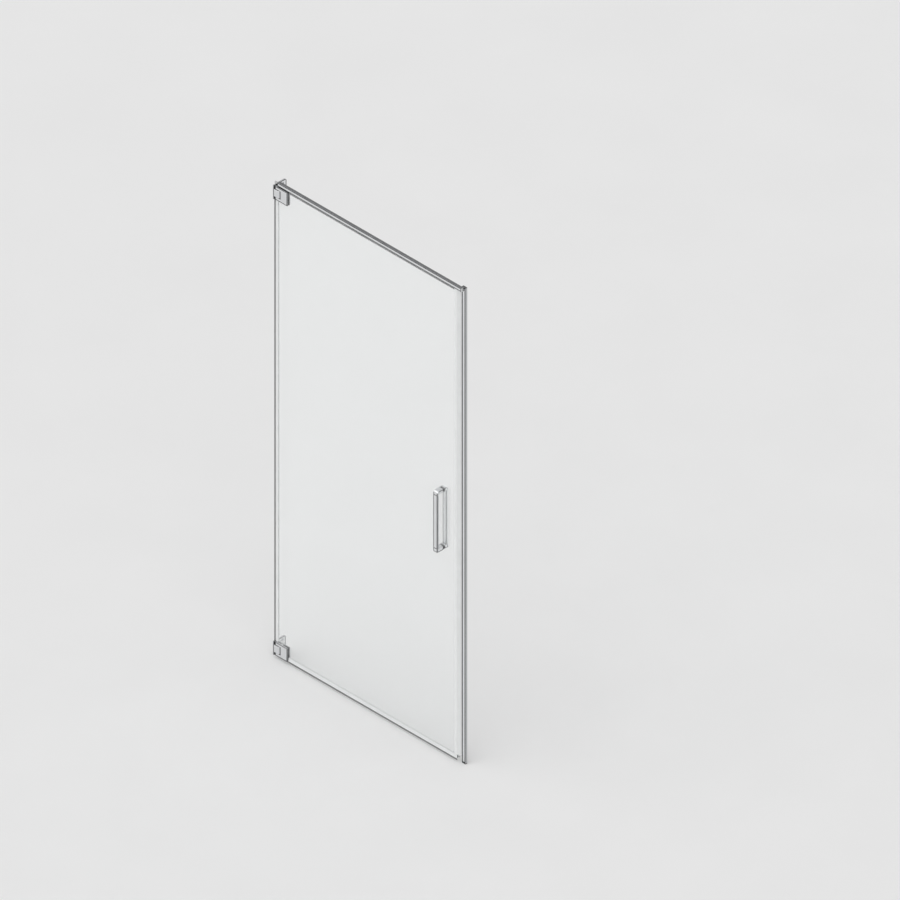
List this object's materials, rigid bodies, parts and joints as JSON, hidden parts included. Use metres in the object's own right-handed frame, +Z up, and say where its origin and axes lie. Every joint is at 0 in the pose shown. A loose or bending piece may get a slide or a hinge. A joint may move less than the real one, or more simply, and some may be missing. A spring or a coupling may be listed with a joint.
{
  "type": "hinged shower door",
  "caption": "Frameless clear-glass shower door that swings on wall hinges under a top bar and closes against a slim magnetic strike post, with a back-to-back handle.",
  "frame": {"origin": "centre of the lower wall plate's back face, on the wall, in the glass mid-plane", "axes": "+X along the closed door from the wall to the strike post, +Y into the shower, +Z up"},
  "size_m": [0.872, 0.08, 1.902],
  "materials": {
    "polished_metal": "polished chrome plate",
    "profile_aluminium": "bright anodised extrusion",
    "clear_glass": "clear toughened glass with polished edges",
    "clear_seal": "clear soft plastic extrusion",
    "gasket_rubber": "smooth sheet rubber",
    "magnet_strip": "dark grey plastic-bound ferrite magnet strip",
    "fastener_steel": "plain stainless steel",
    "bearing_plastic": "black acetal",
    "urethane": "amber urethane",
    "cap_plastic": "dark grey moulded plastic"
  },
  "bodies": {
    "frame": {"lower_wall_plate": "polished_metal", "lower_pivot_block": "polished_metal", "lower_block_screws": "fastener_steel", "lower_hinge_bushes": "bearing_plastic", "lower_brake_plunger": "fastener_steel", "lower_brake_spring": "urethane", "lower_brake_adjuster": "fastener_steel", "upper_wall_plate": "polished_metal", "upper_pivot_block": "polished_metal", "upper_block_screws": "fastener_steel", "upper_hinge_bushes": "bearing_plastic", "upper_brake_plunger": "fastener_steel", "upper_brake_spring": "urethane", "upper_brake_adjuster": "fastener_steel", "top_bar": "polished_metal", "bar_wall_spigot": "fastener_steel", "bar_grub_screw": "fastener_steel", "bar_end_plug": "polished_metal", "bar_post_screw": "fastener_steel", "strike_post": "profile_aluminium", "post_top_cap": "cap_plastic", "post_foot": "cap_plastic", "strike_magnet": "magnet_strip", "head_stop": "gasket_rubber"},
    "leaf": {"lower_clamp_cover": "polished_metal", "lower_clamp_body": "polished_metal", "lower_outer_gasket": "gasket_rubber", "lower_inner_gasket": "gasket_rubber", "lower_hinge_pin": "fastener_steel", "lower_pin_set_screws": "fastener_steel", "lower_clamp_screws": "fastener_steel", "lower_clamp_sleeves": "bearing_plastic", "upper_clamp_cover": "polished_metal", "upper_clamp_body": "polished_metal", "upper_outer_gasket": "gasket_rubber", "upper_inner_gasket": "gasket_rubber", "upper_hinge_pin": "fastener_steel", "upper_pin_set_screws": "fastener_steel", "upper_clamp_screws": "fastener_steel", "upper_clamp_sleeves": "bearing_plastic", "glass_panel": "clear_glass", "outer_handle_grip": "polished_metal", "outer_handle_arms": "polished_metal", "inner_handle_grip": "polished_metal", "inner_handle_arms": "polished_metal", "handle_studs": "fastener_steel", "handle_sleeves": "bearing_plastic", "handle_washers": "gasket_rubber", "handle_grub_screws": "fastener_steel", "magnet_seal": "clear_seal", "door_magnet": "magnet_strip", "hinge_side_seal": "clear_seal", "bottom_drip_seal": "clear_seal"}
  },
  "joints": [
    {"name": "door_swing", "type": "hinge", "parent": "frame", "child": "leaf", "pos_m": [0.02, 0, 0], "axis": [0, 0, -1], "range_deg": [0, 88]}
  ]
}
